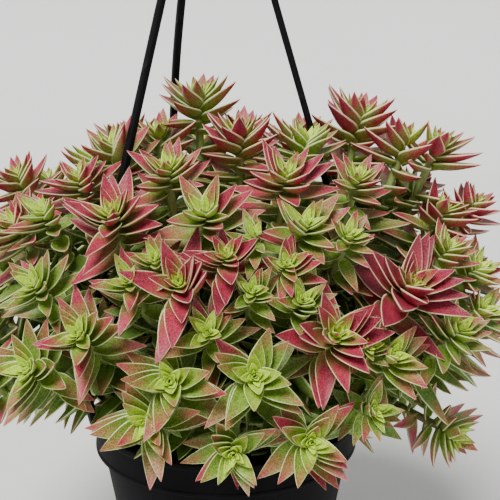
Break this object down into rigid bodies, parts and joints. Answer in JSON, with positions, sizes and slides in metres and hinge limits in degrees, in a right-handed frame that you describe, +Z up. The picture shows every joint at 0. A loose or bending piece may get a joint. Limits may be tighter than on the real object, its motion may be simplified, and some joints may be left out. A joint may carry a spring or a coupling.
{
  "type": "potted crassula in a hanging pot",
  "caption": "Hanging plastic plant pot on a three-strand hanger, overflowing with a wide mound of crassula shoots, each ending in a pointed leaf rosette.",
  "frame": {"origin": "middle of the pot's underside", "axes": "+Z up along the pot's axis; the pictured front of the plant faces -Y; +X to the right of the picture"},
  "size_m": [0.2597, 0.1952, 0.3963],
  "materials": {
    "pot": "smooth dark anthracite injection moulded plastic, satin",
    "hanger": "black moulded plastic, satin, slightly scuffed",
    "soil": "dark crumbly peat potting mix, matt",
    "leaf_green": "waxy green leaf with a fine pale margin and light papillae",
    "leaf_blush": "waxy green leaf blushed red towards its tip, fine pale margin",
    "leaf_red": "waxy magenta red leaf, green at its heart, fine pale margin"
  },
  "bodies": {
    "root": {"hanger_hook": "hanger", "hanger_strand_1": "hanger", "hanger_strand_2": "hanger", "hanger_strand_3": "hanger", "pot": "pot", "shoot_01": "leaf_green", "shoot_02": "leaf_blush", "shoot_03": "leaf_blush", "shoot_04": "leaf_blush", "shoot_05": "leaf_blush", "shoot_06": "leaf_blush", "shoot_07": "leaf_blush", "shoot_08": "leaf_green", "shoot_09": "leaf_blush", "shoot_10": "leaf_green", "shoot_11": "leaf_green", "shoot_12": "leaf_blush", "shoot_13": "leaf_green", "shoot_14": "leaf_blush", "shoot_15": "leaf_blush", "shoot_16": "leaf_blush", "shoot_17": "leaf_blush", "shoot_18": "leaf_green", "shoot_19": "leaf_blush", "shoot_20": "leaf_blush", "shoot_21": "leaf_blush", "shoot_22": "leaf_green", "shoot_23": "leaf_red", "shoot_24": "leaf_blush", "shoot_25": "leaf_green", "shoot_26": "leaf_green", "shoot_27": "leaf_blush", "shoot_28": "leaf_green", "shoot_29": "leaf_green", "shoot_30": "leaf_green", "shoot_31": "leaf_green", "shoot_32": "leaf_blush", "shoot_33": "leaf_green", "shoot_34": "leaf_blush", "shoot_35": "leaf_green", "shoot_36": "leaf_green", "shoot_37": "leaf_green", "shoot_38": "leaf_blush", "soil": "soil"}
  },
  "joints": []
}
